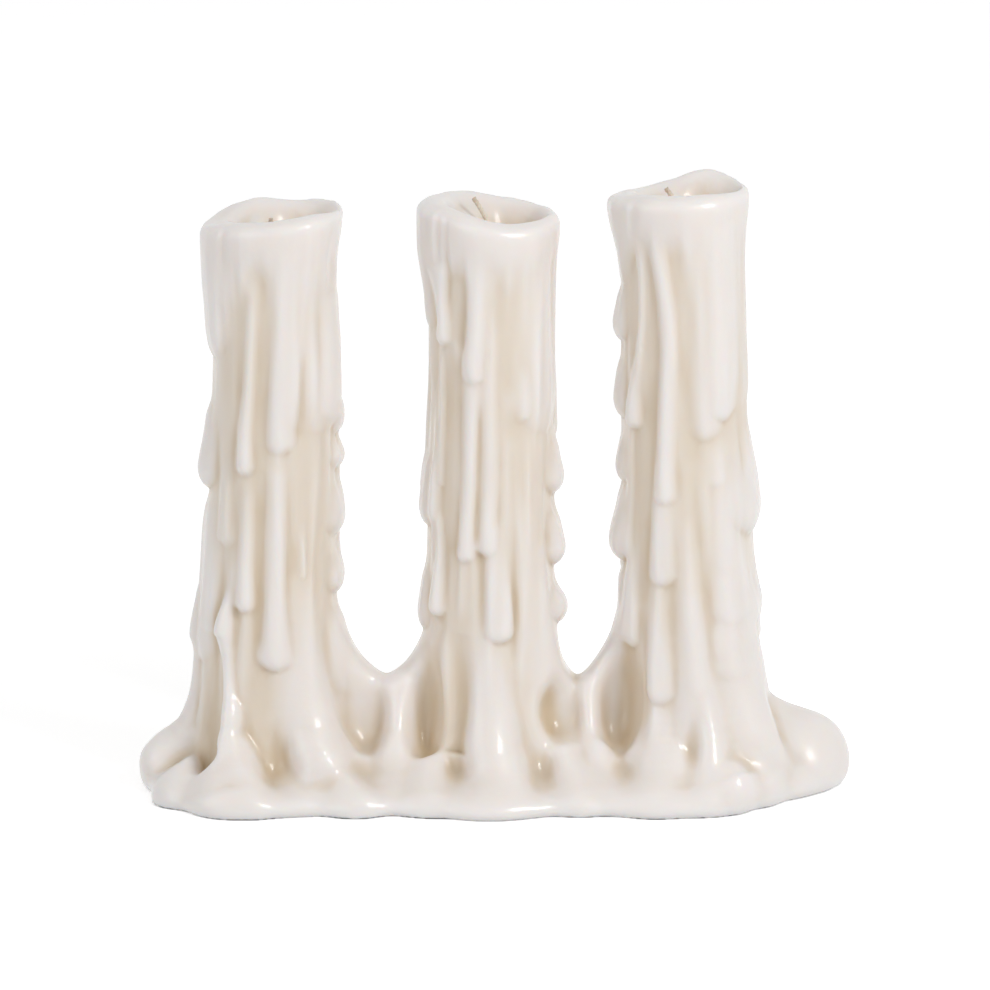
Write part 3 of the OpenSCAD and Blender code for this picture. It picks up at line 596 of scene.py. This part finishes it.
# Tongues of wax that ran on over the pool to its edge. Each stop is how far right of and
# behind the foot of its candle it lies, its height and its radius.
tongues = [
    ("left", 3.0, [(-20, 4, 13, 7), (-24, 4, 7, 10), (-27, 4, 3, 10.5)]),
    ("left", 3.5, [(-22, -16, 8, 5.5), (-25, -19, 3, 8.5), (-26, -20, 1, 8.8)]),
    ("left", 4.0, [(-10, -22, 15, 5), (-8, -26, 7, 8), (-5, -30, 1, 9)]),
    ("left", 4.5, [(14, -22, 16, 6.4), (20, -26, 7, 8.4), (26, -30, 0.5, 9)]),
    ("left", 4.0, [(38, -14, 14, 4), (37, -18, 8, 6), (37, -24, 1, 8.6)]),
    ("middle", 3.5, [(-17, -19, 12, 4.4), (-17, -23, 5, 7.5), (-18, -29, 0, 9)]),
    ("middle", 4.0, [(4, -24, 9, 8), (7, -29, 1.5, 9)]),
    ("middle", 4.0, [(22, -17, 13, 4.2), (24, -22, 6, 6.8), (27, -28, 0.5, 8.6)]),
    ("middle", 3.5, [(34, -15, 14, 3.8), (35, -19, 8, 5.6), (36, -26, 1, 8.4)]),
    ("right", 4.5, [(-15, -20, 11, 5.6), (-13, -25, 4, 8), (-12, -29, 0, 9)]),
    ("right", 3.2, [(3, -24, 14, 5), (5, -28, 5, 7.6)]),
    ("right", 2.4, [(9, -25, 10, 5), (11.5, -28, 6.4, 8.2)]),
    ("left", 2.6, [(-11, -26, 9, 4.5), (-6, -29, 5, 6), (1, -31, 2.4, 6.4)]),
    ("right", 4.5, [(14, -19, 12, 6), (18, -20, 5, 8.4)]),
    ("right", 7.0, [(17, 3, 13, 10.6), (26, 4, 11.6, 12), (34, 4.5, 9.2, 12.4)]),
    ("left", 2.5, [(-18, 0, 17, 6), (-26, -1, 13, 8), (-31, -2, 7.5, 8.5)]),
    ("left", 4.0, [(15, 21, 9, 5.5), (17, 26, 2, 8)]),
    ("left", 4.0, [(-8, 24, 8, 5.5), (-9, 28, 1, 8)]),
    ("middle", 4.0, [(13, 21, 9, 5.5), (15, 26, 2, 8)]),
    ("right", 4.0, [(-22, 18, 8, 5.5), (-22, 23, 2, 8)]),
    ("right", 4.0, [(12, 24, 8, 5.5), (14, 28, 1, 8)]),
]
for name, k, stops in tongues:
    foot = candles[name]["foot"]
    pour([(foot + dx, y, z, r) for dx, y, z, r in stops], k)

# Hollows between the runs at the feet, where no wax reached: the middle and the reach each way
pockets = [
    (-36, -13, 26, 5.4, 5.5, 10), (-19, -15.5, 28, 5, 7.6, 14), (22, -14, 27, 6, 6, 9),
    (39.5, -12.5, 30, 6.4, 8.4, 14), (-84.5, -17, 27, 4, 7, 19), (-86, -23, 15, 8, 3, 2.6),
    (-9.5, -21.5, 34, 3.2, 3.4, 13),
]
POCKET_MARGIN = 5
POCKET_ROUND = 4.5


def around(px, py, pz, reach_x, reach_y, reach_z):
    """The part of the grid within this reach of a point."""
    return window(
        px - reach_x, px + reach_x, py - reach_y, py + reach_y, pz - reach_z, pz + reach_z
    )


for px, py, pz, rx, ry, rz in pockets:
    cut, x, y, z = around(px, py, pz, rx + POCKET_MARGIN, ry + POCKET_MARGIN, rz + POCKET_MARGIN)
    away = ((x - px) / rx) ** 2 + ((y - py) / ry) ** 2 + ((z - pz) / rz) ** 2
    hole = (np.sqrt(away) - 1) * min(rx, ry)
    wax[cut] = hollow(wax[cut], hole.astype(np.float32), POCKET_ROUND)

# Shallow valleys between the mounds of the pool: the middle, the reach each way and the depth
valleys = [
    (-64, -28, 13, 4.5, 9, 9, 3.2), (-36, -25, 11, 9, 8, 5, 2.6), (-9.5, -26, 11, 5, 8, 6, 2.0),
    (16.5, -26, 11, 5, 8, 7, 3.0), (41, -25, 11, 6, 8, 5, 2.4), (62, -24, 19, 3.2, 8, 10, 3.0),
    (80, -18, 15, 7, 8, 5, 2.2), (-47, -29, 9, 5, 8, 5, 2.4), (-78, -28, 9, 5, 8, 5, 1.8),
]
VALLEY_FADE = 2.6
for px, py, pz, rx, ry, rz, depth in valleys:
    cut, x, y, z = around(px, py, pz, VALLEY_FADE * rx, VALLEY_FADE * ry, VALLEY_FADE * rz)
    away = ((x - px) / rx) ** 2 + ((y - py) / ry) ** 2 + ((z - pz) / rz) ** 2
    wax[cut] += (depth * np.exp(-away)).astype(np.float32)

# The unevenness of wax that set by itself, as spacings, a seed and a strength
unevenness = [((9.0, 9.0, 12.0), 3, 0.25), ((4.0, 4.0, 30.0), 5, 0.28), ((2.4, 2.4, 9.0), 7, 0.07)]
for spacing, seed, strength in unevenness:
    wax += smooth_noise(wax.shape, spacing, seed, strength)

# The flat underside, where it set on the table
wax = np.maximum(wax, -grid_z[None, None, :])


# ---------------------------------------------------------------------------
# The skin of the wax
# All the wax above is one closed body. It is pale and thick where it set last, a warmer ivory
# where the candles lie bare, and painted a brown shade deep in the crevices, with a waxy gloss over
# it.
# ---------------------------------------------------------------------------
MOST_TRIANGLES = 190000


def skin(field):
    """A closed surface where the field crosses zero: one point in each crossed cell."""
    cells = np.array(field.shape) - 1
    solid = field < 0
    sums = np.zeros((int(np.prod(cells)), 3))
    hits = np.zeros(int(np.prod(cells)))
    edges = []
    for axis in range(3):
        a = [slice(None)] * 3
        b = [slice(None)] * 3
        a[axis], b[axis] = slice(None, -1), slice(1, None)
        fa, fb = field[tuple(a)], field[tuple(b)]
        i, j, k = np.nonzero(solid[tuple(a)] != solid[tuple(b)])
        va, vb = fa[i, j, k], fb[i, j, k]
        point = np.stack([i, j, k], 1).astype(float)
        point[:, axis] += va / (va - vb)
        u, v = (axis + 1) % 3, (axis + 2) % 3
        ids = []
        for du, dv in ((-1, -1), (0, -1), (0, 0), (-1, 0)):
            c = np.stack([i, j, k], 1)
            c[:, u] += du
            c[:, v] += dv
            ids.append(np.ravel_multi_index(c.T, cells))
        for one in ids:
            for n in range(3):
                sums[:, n] += np.bincount(one, point[:, n], len(sums))
            hits += np.bincount(one, minlength=len(hits))
        quad = np.stack(ids, 1)
        quad[va > 0] = quad[va > 0][:, ::-1]
        edges.append(quad)
    used = np.nonzero(hits)[0]
    number = np.full(len(hits), -1)
    number[used] = np.arange(len(used))
    points = sums[used] / hits[used][:, None]
    return points, number[np.concatenate(edges)]


points, quads = skin(wax)
places = low_corner + points * CELL
mesh = bpy.data.meshes.new("wax")
mesh.vertices.add(len(places))
mesh.vertices.foreach_set("co", (places * MM).astype(np.float32).ravel())
mesh.loops.add(quads.size)
mesh.loops.foreach_set("vertex_index", quads.astype(np.int32).ravel())
mesh.polygons.add(len(quads))
mesh.polygons.foreach_set("loop_start", np.arange(0, quads.size, 4, dtype=np.int32))
mesh.update(calc_edges=True)
mesh.validate()
wax_piece = bpy.data.objects.new("wax", mesh)
bpy.context.scene.collection.objects.link(wax_piece)

# Thinned evenly, to about the count of triangles set above. Thinned evenly, to a count
# that every program can take
thin = wax_piece.modifiers.new("thin", "DECIMATE")
thin.ratio = min(1, MOST_TRIANGLES / (2 * len(quads)))
shown = wax_piece.evaluated_get(bpy.context.evaluated_depsgraph_get())
lean_mesh = bpy.data.meshes.new_from_object(shown)
wax_piece.modifiers.clear()
wax_piece.data = lean_mesh
lean_mesh.name = "wax"


def sample(field, at):
    """The field at points between the grid's, in grid steps."""
    at = np.clip(at, 0, np.array(field.shape) - 1.001)
    base = at.astype(int)
    t = at - base
    total = 0
    for n in range(8):
        step = np.array([n & 1, n >> 1 & 1, n >> 2 & 1])
        weight = np.prod(np.where(step, t, 1 - t), axis=1)
        i, j, k = (base + step).T
        total = total + field[i, j, k] * weight
    return total


count = len(lean_mesh.vertices)
co = np.zeros(count * 3, np.float32)
lean_mesh.vertices.foreach_get("co", co)
at = (co.reshape(-1, 3) / MM - low_corner) / CELL

slopes = np.stack([sample(g, at) for g in np.gradient(wax)], 1)
slopes /= np.maximum(np.linalg.norm(slopes, axis=1, keepdims=True), 1e-6)


def blurred(field, cells):
    """A running mean over a cube of this many cells each way."""
    for axis in range(3):
        start = np.zeros_like(np.take(field, [0], axis))
        padded = np.concatenate([start, np.cumsum(field, axis)], axis)
        n = field.shape[axis]
        hi = np.minimum(np.arange(n) + cells + 1, n)
        lo = np.maximum(np.arange(n) - cells, 0)
        field = (np.take(padded, hi, axis) - np.take(padded, lo, axis)) / (2 * cells + 1)
    return field


# How far each place is closed in by wax, for the painted warm brown shade in the crevices
CREVICE_SHADE_REACH = 4
fill = blurred((wax < 0).astype(np.float32), CREVICE_SHADE_REACH)
closeness = sample(fill, at)
crevice_shade = lean_mesh.attributes.new("crevice_shade", "FLOAT", "POINT")
crevice_shade.data.foreach_set("value", closeness.astype(np.float32))

# Where wax set last it lies thick and pale; the bare columns show warmer, and inside the cups the
# colour is painted darker and warmer with depth, a painted shade in the hollow
BARE_PALENESS = 0.12
PALE_WHEN_THICK = 2.2
HEAD_PALE_TO = 17
HEAD_PALE_OVER = 13
CUP_RIM_PALENESS = 1.05
CUP_FLOOR_PALENESS = 0.15
CUP_SHADE_FADE = 9
INSIDE_CUP = -3.5
BESIDE_CANDLE = 14
mm = co.reshape(-1, 3).astype(float) / MM
fresh_and_cup_shade = np.ones(count)
for name, candle in candles.items():
    dx = mm[:, 0] - (candle["foot"] + candle["lean"] * mm[:, 2] / candle["height"])
    reach = np.hypot(dx, mm[:, 1])
    stand = reach - np.interp(mm[:, 2], grid_z, column_radius(candle))
    shaft = np.clip(BARE_PALENESS + stand / PALE_WHEN_THICK, 0, 1)
    turn = np.degrees(np.arctan2(dx, -mm[:, 1])) % 360
    rim = np.interp(turn, bearings, rim_heights(candle["rim"]), period=360)
    depth = rim - mm[:, 2]
    head = eased((HEAD_PALE_TO - depth) / HEAD_PALE_OVER)
    # Inside a cup the colour is painted darker towards its floor, as shade in the hollow
    cup = np.clip(CUP_RIM_PALENESS - depth / CUP_SHADE_FADE, CUP_FLOOR_PALENESS, 1)
    tint = np.where(stand < INSIDE_CUP, cup, np.maximum(shaft, head))
    fresh_and_cup_shade = np.where(reach < COLUMN_R + BESIDE_CANDLE, np.minimum(fresh_and_cup_shade, tint), fresh_and_cup_shade)
paleness = lean_mesh.attributes.new("paleness", "FLOAT", "POINT")
paleness.data.foreach_set("value", fresh_and_cup_shade.astype(np.float32))
lean_mesh.shade_smooth()
lean_mesh.normals_split_custom_set_from_vertices(slopes.tolist())


def node(tree, kind, **values):
    """A node with its inputs set by name and its settings by attribute."""
    made = tree.nodes.new(kind)
    for key, value in values.items():
        if key in made.inputs:
            made.inputs[key].default_value = value
        else:
            setattr(made, key, value)
    return made


def ramp(tree, source, stops):
    """Colours for a value from 0 to 1, given as places and colours in rising order."""
    made = node(tree, "ShaderNodeValToRGB")
    elements = made.color_ramp.elements
    for element, (place, colour) in zip(elements, (stops[0], stops[-1])):
        element.position = place
        element.color = (*colour, 1)
    for place, colour in stops[1:-1]:
        elements.new(place).color = (*colour, 1)
    tree.links.new(source, made.inputs["Fac"])
    return made.outputs["Color"]


def multiplied(tree, a, b, factor):
    """One colour darkened by another."""
    made = node(tree, "ShaderNodeMix", data_type="RGBA", blend_type="MULTIPLY")
    made.inputs["Factor"].default_value = factor
    tree.links.new(a, made.inputs["A"])
    tree.links.new(b, made.inputs["B"])
    return made.outputs["Result"]


def noise(tree, where, scale, detail):
    """A cloudy value from 0 to 1 on the piece's own coordinates."""
    made = node(tree, "ShaderNodeTexNoise", Scale=scale, Detail=detail)
    tree.links.new(where.outputs["Object"], made.inputs["Vector"])
    return made.outputs["Fac"]


def bumped(tree, shader, height, strength, distance):
    """A fine grain over the surface."""
    made = node(tree, "ShaderNodeBump", Strength=strength, Distance=distance)
    tree.links.new(height, made.inputs["Height"])
    tree.links.new(made.outputs["Normal"], shader.inputs["Normal"])


ivory_wax = bpy.data.materials.new("ivory_wax")
ivory_wax.use_nodes = True
tree = ivory_wax.node_tree
tree.nodes.clear()
output = node(tree, "ShaderNodeOutputMaterial")
shader = node(tree, "ShaderNodeBsdfPrincipled")
shader.inputs["IOR"].default_value = 1.44
shader.inputs["Subsurface Weight"].default_value = 0.6
shader.inputs["Subsurface Radius"].default_value = (1.0, 0.72, 0.5)
shader.inputs["Subsurface Scale"].default_value = 0.005
shader.inputs["Coat Weight"].default_value = 0.4
shader.inputs["Coat Roughness"].default_value = 0.1
pale = node(tree, "ShaderNodeAttribute", attribute_name="paleness")
body = ramp(tree, pale.outputs["Fac"], [
    (0, (0.80, 0.72, 0.62)), (0.45, (0.84, 0.783, 0.725)), (1, (0.87, 0.835, 0.82)),
])
# Painted shade: the colour turns brown where wax closes in round a place, in the crevices
close = node(tree, "ShaderNodeAttribute", attribute_name="crevice_shade")
shade = ramp(tree, close.outputs["Fac"], [
    (0.4, (1, 1, 1)), (0.52, (0.97, 0.95, 0.92)), (0.61, (0.86, 0.78, 0.66)),
    (0.76, (0.62, 0.49, 0.31)),
])
shaded_tone = multiplied(tree, body, shade, factor=1.0)
where = node(tree, "ShaderNodeTexCoord")
clouds = noise(tree, where, scale=40.0, detail=3.0)
veil = ramp(tree, clouds, [(0, (0.93, 0.91, 0.88)), (1, (1, 1, 1))])
cloudy = multiplied(tree, shaded_tone, veil, factor=0.5)
tree.links.new(cloudy, shader.inputs["Base Color"])
gloss = node(tree, "ShaderNodeMapRange")
gloss.inputs["To Min"].default_value = 0.24
gloss.inputs["To Max"].default_value = 0.42
tree.links.new(noise(tree, where, scale=90.0, detail=4.0), gloss.inputs["Value"])
tree.links.new(gloss.outputs["Result"], shader.inputs["Roughness"])
grain = noise(tree, where, scale=700.0, detail=3.0)
bumped(tree, shader, grain, strength=0.12, distance=0.0004)
tree.links.new(shader.outputs["BSDF"], output.inputs["Surface"])
wax_piece.data.materials.append(ivory_wax)
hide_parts("wax_body")
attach(wax_piece, "root")

# ---------------------------------------------------------------------------
# The wicks
# Twisted cotton soaked in wax, cast in down the middle of each candle. What stands in the
# cup has bent over to the left, and its tip is scorched.
# ---------------------------------------------------------------------------
WICK_R = 0.66
WICK_LOBES = 3.0
LOBE_DEPTH = 0.17
WICK_TURN = 1.5
WICK_FOOT = 4.0
BENT_STEPS = 46
ROUND_STEPS = 24
# How many times longer a wick is than its rounded end, and than its scorched end
TIP_ROUNDING = 90.0
TIP_BLUNTNESS = 0.25
SCORCHING = 60.0
# How high each stands over the floor of its cup, how far it bends over, and which way
wick_bends = {"left": (10.8, 1.6, -60), "middle": (15.0, 6.2, -112), "right": (11.8, 5.0, -100)}

wick_cotton = bpy.data.materials.new("waxed_cotton")
wick_cotton.use_nodes = True
tree = wick_cotton.node_tree
shader = tree.nodes["Principled BSDF"]
shader.inputs["Roughness"].default_value = 0.45
shader.inputs["Subsurface Weight"].default_value = 0.2
shader.inputs["Subsurface Scale"].default_value = 0.001
threads = noise(tree, node(tree, "ShaderNodeTexCoord"), scale=2500.0, detail=2.0)
cotton = ramp(tree, threads, [(0, (0.70, 0.60, 0.47)), (1, (0.84, 0.77, 0.67))])
scorch = node(tree, "ShaderNodeAttribute", attribute_name="scorch")
burnt = node(tree, "ShaderNodeMix", data_type="RGBA")
burnt.inputs["B"].default_value = (0.56, 0.46, 0.36, 1)
tree.links.new(scorch.outputs["Fac"], burnt.inputs["Factor"])
tree.links.new(cotton, burnt.inputs["A"])
tree.links.new(burnt.outputs["Result"], shader.inputs["Base Color"])
bumped(tree, shader, threads, strength=0.3, distance=0.0001)


def sum_of(tree, operation, a, b):
    """A number made from two others, each a socket or a plain value."""
    made = node(tree, "ShaderNodeMath", operation=operation)
    for socket, value in zip(made.inputs, (a, b)):
        if isinstance(value, bpy.types.NodeSocket):
            tree.links.new(value, socket)
        elif value is not None:
            socket.default_value = value
    return made.outputs[0]


twisted = bpy.data.node_groups.new("twisted_wick", "GeometryNodeTree")
face = twisted.interface
face.new_socket("Geometry", in_out="INPUT", socket_type="NodeSocketGeometry")
wick_inputs = {}
for label, value in (("Radius", WICK_R * MM), ("Lobes", WICK_LOBES), ("Turn", WICK_TURN / MM),
                     ("Straight", 0.0)):
    wick_inputs[label] = face.new_socket(label, in_out="INPUT", socket_type="NodeSocketFloat")
    wick_inputs[label].default_value = value
face.new_socket("Geometry", in_out="OUTPUT", socket_type="NodeSocketGeometry")
start = twisted.nodes.new("NodeGroupInput")
line = node(twisted, "GeometryNodeMeshToCurve")
twisted.links.new(start.outputs["Geometry"], line.inputs["Mesh"])
along_it = node(twisted, "GeometryNodeSplineParameter")
bare = sum_of(twisted, "SUBTRACT", along_it.outputs["Length"], start.outputs["Straight"])
bare = sum_of(twisted, "MAXIMUM", bare, 0.0)
tilted = node(twisted, "GeometryNodeSetCurveTilt")
twisted.links.new(line.outputs["Curve"], tilted.inputs["Curve"])
twisted.links.new(sum_of(twisted, "MULTIPLY", bare, start.outputs["Turn"]), tilted.inputs["Tilt"])
left_over = sum_of(twisted, "SUBTRACT", 1.0, along_it.outputs["Factor"])
to_tip = sum_of(twisted, "MULTIPLY", left_over, TIP_ROUNDING)
to_tip = sum_of(twisted, "MINIMUM", to_tip, 1.0)
ends = node(twisted, "GeometryNodeSetCurveRadius")
twisted.links.new(tilted.outputs["Curve"], ends.inputs["Curve"])
rounding = sum_of(twisted, "POWER", to_tip, 0.5)
rounding = sum_of(twisted, "MULTIPLY", rounding, 1 - TIP_BLUNTNESS)
twisted.links.new(sum_of(twisted, "ADD", rounding, TIP_BLUNTNESS), ends.inputs["Radius"])
ring = node(twisted, "GeometryNodeCurvePrimitiveCircle")
ring.inputs["Resolution"].default_value = ROUND_STEPS
twisted.links.new(start.outputs["Radius"], ring.inputs["Radius"])
ring_at = node(twisted, "GeometryNodeSplineParameter")
wave = sum_of(twisted, "MULTIPLY", ring_at.outputs["Factor"], 2 * pi)
wave = sum_of(twisted, "MULTIPLY", wave, start.outputs["Lobes"])
wave = sum_of(twisted, "COSINE", wave, None)
wave = sum_of(twisted, "MULTIPLY", wave, LOBE_DEPTH)
wave = sum_of(twisted, "ADD", wave, 1.0)
place = node(twisted, "GeometryNodeInputPosition")
scaled = node(twisted, "ShaderNodeVectorMath", operation="SCALE")
twisted.links.new(place.outputs["Position"], scaled.inputs[0])
twisted.links.new(wave, scaled.inputs["Scale"])
lobed = node(twisted, "GeometryNodeSetPosition")
twisted.links.new(ring.outputs["Curve"], lobed.inputs["Geometry"])
twisted.links.new(scaled.outputs["Vector"], lobed.inputs["Position"])
swept = node(twisted, "GeometryNodeCurveToMesh")
swept.inputs["Fill Caps"].default_value = True
marked = node(twisted, "GeometryNodeStoreNamedAttribute", data_type="FLOAT", domain="POINT")
marked.inputs["Name"].default_value = "scorch"
twisted.links.new(ends.outputs["Curve"], marked.inputs["Geometry"])
tip_share = sum_of(twisted, "MULTIPLY", left_over, SCORCHING)
tip_share = sum_of(twisted, "MINIMUM", tip_share, 1.0)
twisted.links.new(sum_of(twisted, "SUBTRACT", 1.0, tip_share), marked.inputs["Value"])
twisted.links.new(marked.outputs["Geometry"], swept.inputs["Curve"])
twisted.links.new(lobed.outputs["Geometry"], swept.inputs["Profile Curve"])
real = node(twisted, "GeometryNodeRealizeInstances")
twisted.links.new(swept.outputs["Mesh"], real.inputs["Geometry"])
painted = node(twisted, "GeometryNodeSetMaterial")
painted.inputs["Material"].default_value = wick_cotton
twisted.links.new(real.outputs["Geometry"], painted.inputs["Geometry"])
finish = twisted.nodes.new("NodeGroupOutput")
twisted.links.new(painted.outputs["Geometry"], finish.inputs["Geometry"])

for name, candle in candles.items():
    floor_z = candle["height"] - CUP_DEPTH
    rise, bend, towards = wick_bends[name]
    way = radians(towards)
    path = [(candle["foot"] + candle["lean"] * WICK_FOOT / candle["height"], 0, WICK_FOOT)]
    axis = candle["foot"] + candle["lean"] * floor_z / candle["height"]
    for t in np.linspace(0, 1, BENT_STEPS):
        shift = bend * t * t
        path.append((axis + shift * sin(way), -shift * cos(way), floor_z + rise * t))
    straight = (Vector(path[1]) - Vector(path[0])).length
    guide = bpy.data.meshes.new(name + "_wick")
    links = [(k, k + 1) for k in range(len(path) - 1)]
    guide.from_pydata([Vector(p) * MM for p in path], links, [])
    wick = bpy.data.objects.new(name + "_wick", guide)
    bpy.context.scene.collection.objects.link(wick)
    modifier = wick.modifiers.new("twist", "NODES")
    modifier.node_group = twisted
    modifier[wick_inputs["Straight"].identifier] = straight * MM
    shown = wick.evaluated_get(bpy.context.evaluated_depsgraph_get())
    wick_mesh = bpy.data.meshes.new_from_object(shown)
    wick.modifiers.clear()
    wick.data = wick_mesh
    wick_mesh.name = name + "_wick"
    wick_mesh.shade_smooth()
    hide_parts("wick_" + name)
    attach(wick, "root")

# ---------------------------------------------------------------------------
# Floor, lamps and camera
# The candles stand on matt white paper in a white room, lit by a soft key lamp from the front
# right and a broad, weaker fill from the front left, and seen from a little above.
# ---------------------------------------------------------------------------
floor_mesh = bpy.data.meshes.new("floor")
floor_mesh.from_pydata([(-6, -6, 0), (6, -6, 0), (6, 6, 0), (-6, 6, 0)], [], [(0, 1, 2, 3)])
floor = bpy.data.objects.new("floor", floor_mesh)
bpy.context.scene.collection.objects.link(floor)
paper = bpy.data.materials.new("white_paper")
paper.use_nodes = True
paper_tree = paper.node_tree
paper_shader = paper_tree.nodes["Principled BSDF"]
paper_shader.inputs["Base Color"].default_value = (0.85, 0.85, 0.85, 1)
paper_shader.inputs["Roughness"].default_value = 0.9


def seen_directly(tree):
    """1 for rays from the camera, and from gloss or glass, and 0 for rays that light things."""
    rays = tree.nodes.new("ShaderNodeLightPath").outputs
    seen = sum_of(tree, "MAXIMUM", rays["Is Camera Ray"], rays["Is Glossy Ray"])
    return sum_of(tree, "MAXIMUM", seen, rays["Is Transmission Ray"])


PAPER_GLOW = 0.5
lift = sum_of(paper_tree, "MULTIPLY", seen_directly(paper_tree), PAPER_GLOW)
paper_glow = node(paper_tree, "ShaderNodeEmission", Color=(1, 1, 1, 1))
paper_tree.links.new(lift, paper_glow.inputs["Strength"])
paper_sum = node(paper_tree, "ShaderNodeAddShader")
paper_tree.links.new(paper_shader.outputs["BSDF"], paper_sum.inputs[0])
paper_tree.links.new(paper_glow.outputs["Emission"], paper_sum.inputs[1])
paper_out = paper_tree.nodes["Material Output"]
paper_tree.links.new(paper_sum.outputs["Shader"], paper_out.inputs["Surface"])
floor.data.materials.append(paper)

world = bpy.data.worlds.new("studio")
bpy.context.scene.world = world
world.use_nodes = True
back = world.node_tree.nodes["Background"]
back.inputs["Color"].default_value = (1, 1, 1, 1)
level = node(world.node_tree, "ShaderNodeMapRange")
level.inputs["To Min"].default_value = 0.5
level.inputs["To Max"].default_value = 1.0
world.node_tree.links.new(seen_directly(world.node_tree), level.inputs["Value"])
world.node_tree.links.new(level.outputs["Result"], back.inputs["Strength"])


def softbox(name, place, aim, size, power):
    """A rectangular soft lamp, turned to face a point."""
    light = bpy.data.lights.new(name, "AREA")
    light.shape = "RECTANGLE"
    light.size, light.size_y = size
    light.energy = power
    lamp = bpy.data.objects.new(name, light)
    lamp.location = place
    lamp.rotation_euler = (Vector(aim) - Vector(place)).to_track_quat("-Z", "Y").to_euler()
    bpy.context.scene.collection.objects.link(lamp)
    return lamp


MIDDLE = (0, 0, 0.09)
softbox("key", place=(0.75, -0.8, 0.85), aim=MIDDLE, size=(0.35, 0.5), power=7)
softbox("fill", place=(-0.9, -0.7, 0.5), aim=MIDDLE, size=(0.9, 0.9), power=2.5)

CAMERA_ELEVATION = 14.3
CAMERA_DISTANCE = 4.0
CAMERA_LENS = 484
CAMERA_WIDTH = 36
aim = Vector((0.0022, 0, 0.0904))
camera_data = bpy.data.cameras.new("camera")
camera_data.lens = CAMERA_LENS
camera_data.sensor_width = CAMERA_WIDTH
camera = bpy.data.objects.new("camera", camera_data)
tilt = radians(CAMERA_ELEVATION)
camera.location = aim + Vector((0, -cos(tilt), sin(tilt))) * CAMERA_DISTANCE
camera.rotation_euler = (pi / 2 - tilt, 0, 0)
bpy.context.scene.collection.objects.link(camera)
bpy.context.scene.camera = camera
bpy.context.scene.view_settings.view_transform = "Standard"
